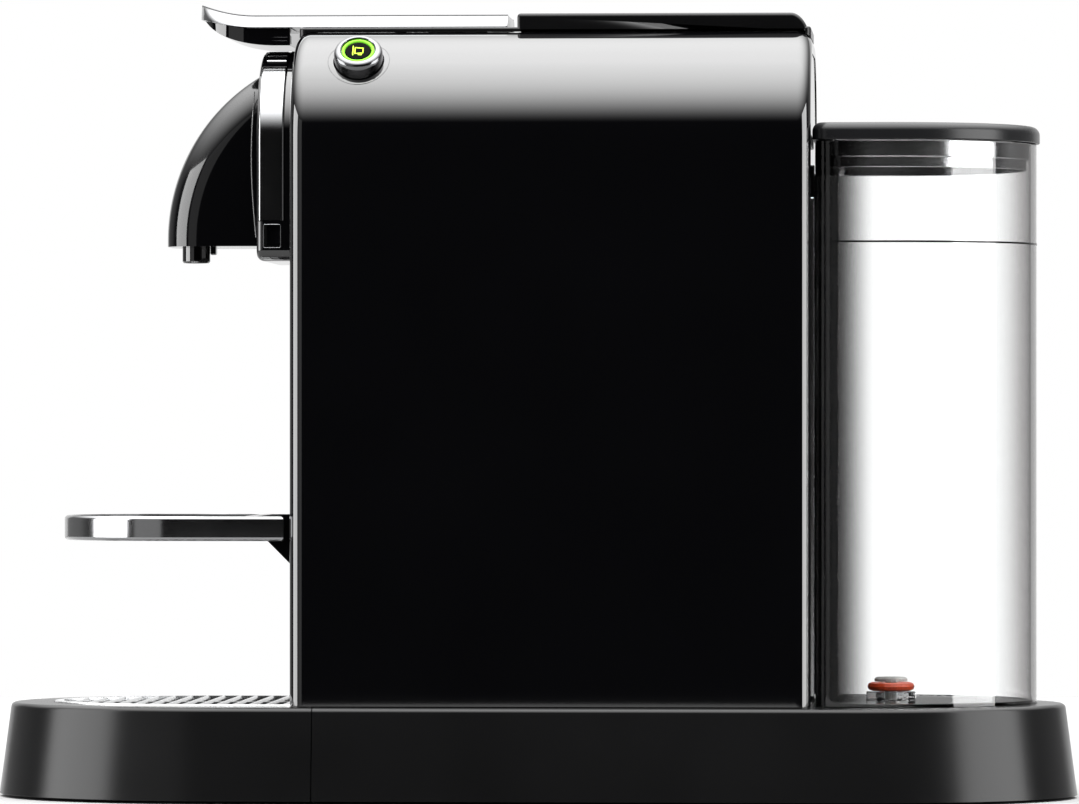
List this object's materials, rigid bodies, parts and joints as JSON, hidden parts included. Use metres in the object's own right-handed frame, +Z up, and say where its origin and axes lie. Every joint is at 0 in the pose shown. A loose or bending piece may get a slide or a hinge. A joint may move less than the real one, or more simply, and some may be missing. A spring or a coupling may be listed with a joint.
{
  "type": "pod coffee machine",
  "caption": "Compact pod coffee machine with an arched gloss casing, lift lever, fold-up cup support, pull-out drip tray and clear rear water tank.",
  "frame": {"origin": "centre of the footprint, on the surface that the machine stands on", "axes": "+X from the brewing head towards the water tank, +Y to the machine's left seen from the front, +Z up"},
  "size_m": [0.372, 0.13, 0.2732],
  "materials": {
    "satin_black": "satin moulded plastic",
    "lid_grey": "dark grey satin plastic",
    "gloss_black": "high gloss lacquer black",
    "chrome": "mirror chrome plating",
    "steel": "plain stainless steel",
    "aluminium": "as-cast aluminium",
    "clear_plastic": "clear moulded plastic",
    "silver_plastic": "silver moulded plastic",
    "rubber": "black rubber",
    "seal_red": "orange-red silicone",
    "white_plastic": "white moulded plastic",
    "green_light": "lit translucent plastic",
    "dark_grey": "dark grey plastic",
    "silicone": "translucent silicone hose",
    "board_green": "circuit board",
    "copper": "copper windings"
  },
  "bodies": {
    "root": {"base_housing": "satin_black", "base_bottom_cover": "satin_black", "foot_middle_right": "rubber", "foot_middle_left": "rubber", "foot_rear_right": "rubber", "foot_rear_left": "rubber", "casing_shell": "gloss_black", "front_panel": "gloss_black", "rear_panel": "gloss_black", "top_cover": "satin_black", "head_frame": "gloss_black", "head_trim": "chrome", "spout_housing": "gloss_black", "outlet_nozzle": "satin_black", "coffee_channel": "satin_black", "brewing_frame": "satin_black", "piercing_plate": "steel", "lever_pin": "steel", "button_switch_right": "dark_grey", "button_switch_left": "dark_grey", "tank_connector": "satin_black", "connector_seal": "rubber", "flow_meter": "white_plastic", "hose_tank": "silicone", "pump": "dark_grey", "pump_mount_front": "rubber", "pump_mount_rear": "rubber", "hose_suction": "silicone", "hose_pressure": "silicone", "thermoblock": "aluminium", "hose_hot": "silicone", "thermostat": "steel", "chassis": "satin_black", "main_board": "board_green", "transformer": "copper", "cable_inlet": "rubber"},
    "lever": {"lever_top": "chrome", "lever_grip": "gloss_black", "lever_crank": "steel"},
    "rockers": {"rocker_right": "steel", "rocker_left": "steel"},
    "cage": {"pod_cage": "aluminium"},
    "button_right": {"button_right": "chrome", "button_light_right": "green_light", "button_disc_right": "gloss_black"},
    "button_left": {"button_left": "chrome", "button_light_left": "green_light", "button_disc_left": "gloss_black"},
    "drip_module": {"drip_tray": "satin_black", "capsule_container": "satin_black", "container_front": "gloss_black", "support_pin": "steel"},
    "drip_grid": {"drip_grid": "steel"},
    "cup_support": {"cup_support_ring": "chrome", "cup_support_grid": "steel"},
    "tank": {"tank_body": "clear_plastic", "valve_seal": "seal_red"},
    "tank_lid": {"tank_lid": "lid_grey", "lid_skirt": "silver_plastic"},
    "tank_valve": {"valve_stem": "white_plastic"}
  },
  "joints": [
    {"name": "lever_hinge", "type": "hinge", "parent": "root", "child": "lever", "pos_m": [-0.024, 0, 0.2545], "axis": [0, 1, 0], "range_deg": [0, 95]},
    {"name": "rocker_hinge", "type": "hinge", "parent": "root", "child": "rockers", "pos_m": [-0.024, 0, 0.2205], "axis": [0, 1, 0], "range_deg": [-46.12, 0.5]},
    {"name": "cage_slide", "type": "slide", "parent": "root", "child": "cage", "axis": [1, 0, 0], "range_m": [-0.0003, 0.02821]},
    {"name": "button_right_press", "type": "slide", "parent": "root", "child": "button_right", "axis": [0, 0.7071, -0.7071], "range_m": [0, 0.0012], "stiffness_N_per_m": 900, "springref_m": -0.001},
    {"name": "button_left_press", "type": "slide", "parent": "root", "child": "button_left", "axis": [0, -0.7071, -0.7071], "range_m": [0, 0.0012], "stiffness_N_per_m": 900, "springref_m": -0.001},
    {"name": "module_slide", "type": "slide", "parent": "root", "child": "drip_module", "axis": [-1, 0, 0], "range_m": [0, 0.08]},
    {"name": "grid_lift", "type": "slide", "parent": "drip_module", "child": "drip_grid", "axis": [0, 0, 1], "range_m": [0, 0.04]},
    {"name": "cup_support_hinge", "type": "hinge", "parent": "drip_module", "child": "cup_support", "pos_m": [-0.088, 0, 0.0927], "axis": [0, 1, 0], "range_deg": [0, 90]},
    {"name": "tank_lift", "type": "slide", "parent": "root", "child": "tank", "axis": [0, 0, 1], "range_m": [0, 0.245]},
    {"name": "lid_lift", "type": "slide", "parent": "tank", "child": "tank_lid", "axis": [0, 0, 1], "range_m": [0, 0.035]},
    {"name": "valve_lift", "type": "slide", "parent": "tank", "child": "tank_valve", "axis": [0, 0, 1], "range_m": [0, 0.003], "stiffness_N_per_m": 60, "springref_m": -0.004}
  ],
  "couplings": [
    {"joint": "rocker_hinge", "follows": "lever_hinge", "ratio": -0.48023},
    {"joint": "cage_slide", "follows": "lever_hinge", "m_per_rad": 0.016835}
  ]
}
